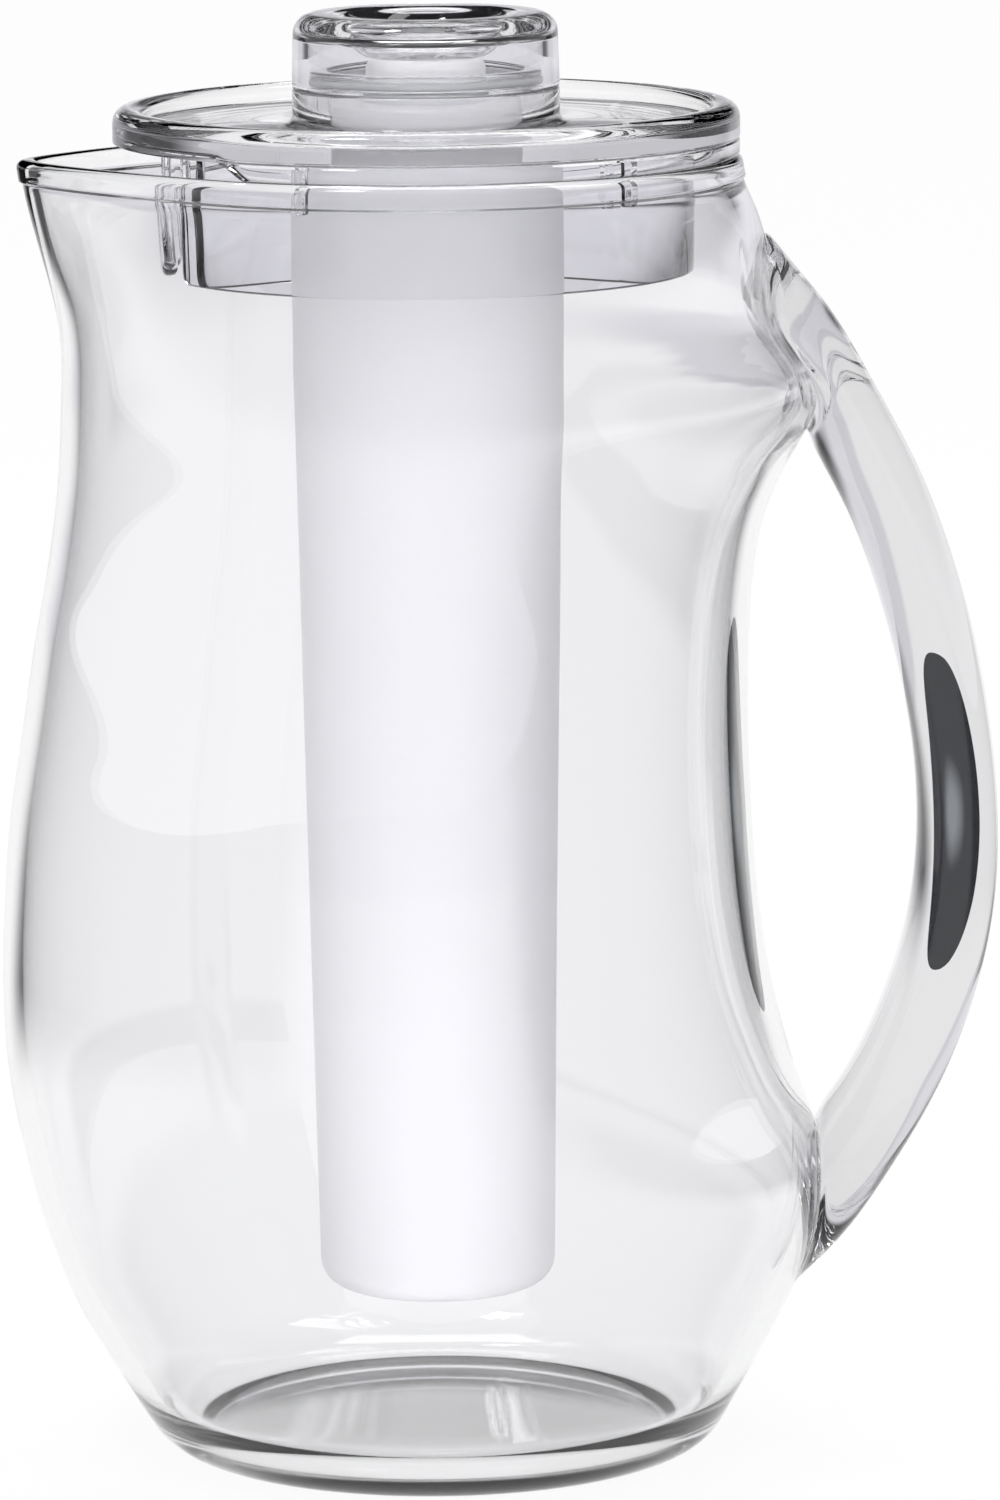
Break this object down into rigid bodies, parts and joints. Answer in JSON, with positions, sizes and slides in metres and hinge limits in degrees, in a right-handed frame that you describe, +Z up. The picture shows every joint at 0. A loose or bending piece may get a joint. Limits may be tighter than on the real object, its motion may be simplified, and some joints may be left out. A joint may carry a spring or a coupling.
{
  "type": "pitcher with ice core",
  "caption": "Clear pitcher with a pinched spout, a thick loop handle, a turning strainer lid with a hollow knob, and a frosted ice tube that hangs inside.",
  "frame": {"origin": "middle of the flat base, on the axis of the round neck", "axes": "+Z up along the neck's axis, the spout points along -X and the handle along +X, front and back are mirror images"},
  "size_m": [0.2021, 0.1648, 0.2917],
  "materials": {
    "clear_acrylic": "clear polished acrylic, moulded",
    "clear_acrylic_handle": "clear solid acrylic, flame polished",
    "clear_lid": "clear moulded acrylic",
    "clear_knob": "clear moulded acrylic",
    "white_plug": "white moulded polyethylene",
    "frosted_white": "frosted white polypropylene",
    "silicone": "translucent moulded silicone"
  },
  "bodies": {
    "pitcher": {"pitcher_body": "clear_acrylic", "handle": "clear_acrylic_handle"},
    "lid_washer": {"core_seal": "silicone"},
    "lid": {"lid": "clear_lid"},
    "neck_washer": {"neck_seal": "silicone"},
    "core": {"ice_core": "frosted_white"},
    "knob_ring": {"knob_seal": "silicone"},
    "knob": {"knob": "clear_knob", "seal_plug": "white_plug"}
  },
  "joints": [
    {"name": "lid_lift", "type": "slide", "parent": "pitcher", "child": "lid_washer", "axis": [0, 0, 1], "range_m": [0, 0.25]},
    {"name": "lid_turn", "type": "hinge", "parent": "lid_washer", "child": "lid", "pos_m": [0, 0, 0.2637], "axis": [0, 0, 1], "continuous": true},
    {"name": "knob_turn", "type": "hinge", "parent": "lid", "child": "knob_ring", "pos_m": [0, 0, 0.2788], "axis": [0, 0, 1], "range_deg": [0, 540]},
    {"name": "knob_rise", "type": "slide", "parent": "knob_ring", "child": "knob", "axis": [0, 0, 1], "range_m": [0, 0.00455]},
    {"name": "core_drop", "type": "slide", "parent": "lid", "child": "neck_washer", "axis": [0, 0, -1], "range_m": [0, 0.01055]},
    {"name": "core_turn", "type": "hinge", "parent": "neck_washer", "child": "core", "pos_m": [0, 0, 0.2567], "axis": [0, 0, -1], "range_deg": [0, 900]}
  ],
  "couplings": [
    {"joint": "knob_rise", "follows": "knob_turn", "m_per_rad": 0.00047746},
    {"joint": "core_drop", "follows": "core_turn", "m_per_rad": 0.00066845}
  ]
}
